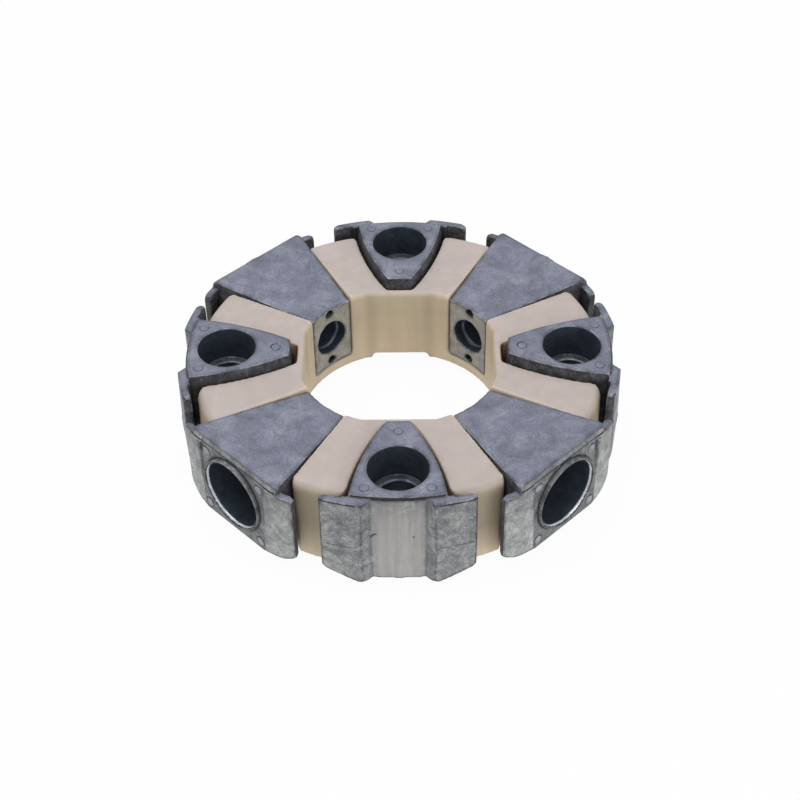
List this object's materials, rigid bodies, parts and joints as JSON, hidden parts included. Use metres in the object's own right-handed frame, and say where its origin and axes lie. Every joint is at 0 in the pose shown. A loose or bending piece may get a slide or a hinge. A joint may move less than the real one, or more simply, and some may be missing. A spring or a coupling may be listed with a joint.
{
  "type": "flexible shaft coupling element",
  "caption": "Flexible shaft coupling ring: elastomer ring with plug-in aluminium inserts for alternating axial and radial screws.",
  "frame": {"origin": "coupling axis at the flange seat, the plane of the undersides of the axial inserts", "axes": "+Z along the coupling axis away from the flange seat, -Y towards the viewer of the picture through one axial insert, +X to the right"},
  "size_m": [0.2354, 0.2354, 0.058],
  "materials": {
    "cast_aluminium": "die cast, tumbled, lightly marked",
    "elastomer": "matt moulded, natural beige"
  },
  "bodies": {
    "root": {"elastomer_ring": "elastomer", "axial_insert_front": "cast_aluminium", "axial_insert_right": "cast_aluminium", "axial_insert_back": "cast_aluminium", "axial_insert_left": "cast_aluminium", "radial_insert_front_right": "cast_aluminium", "radial_insert_back_right": "cast_aluminium", "radial_insert_back_left": "cast_aluminium", "radial_insert_front_left": "cast_aluminium"}
  },
  "joints": []
}
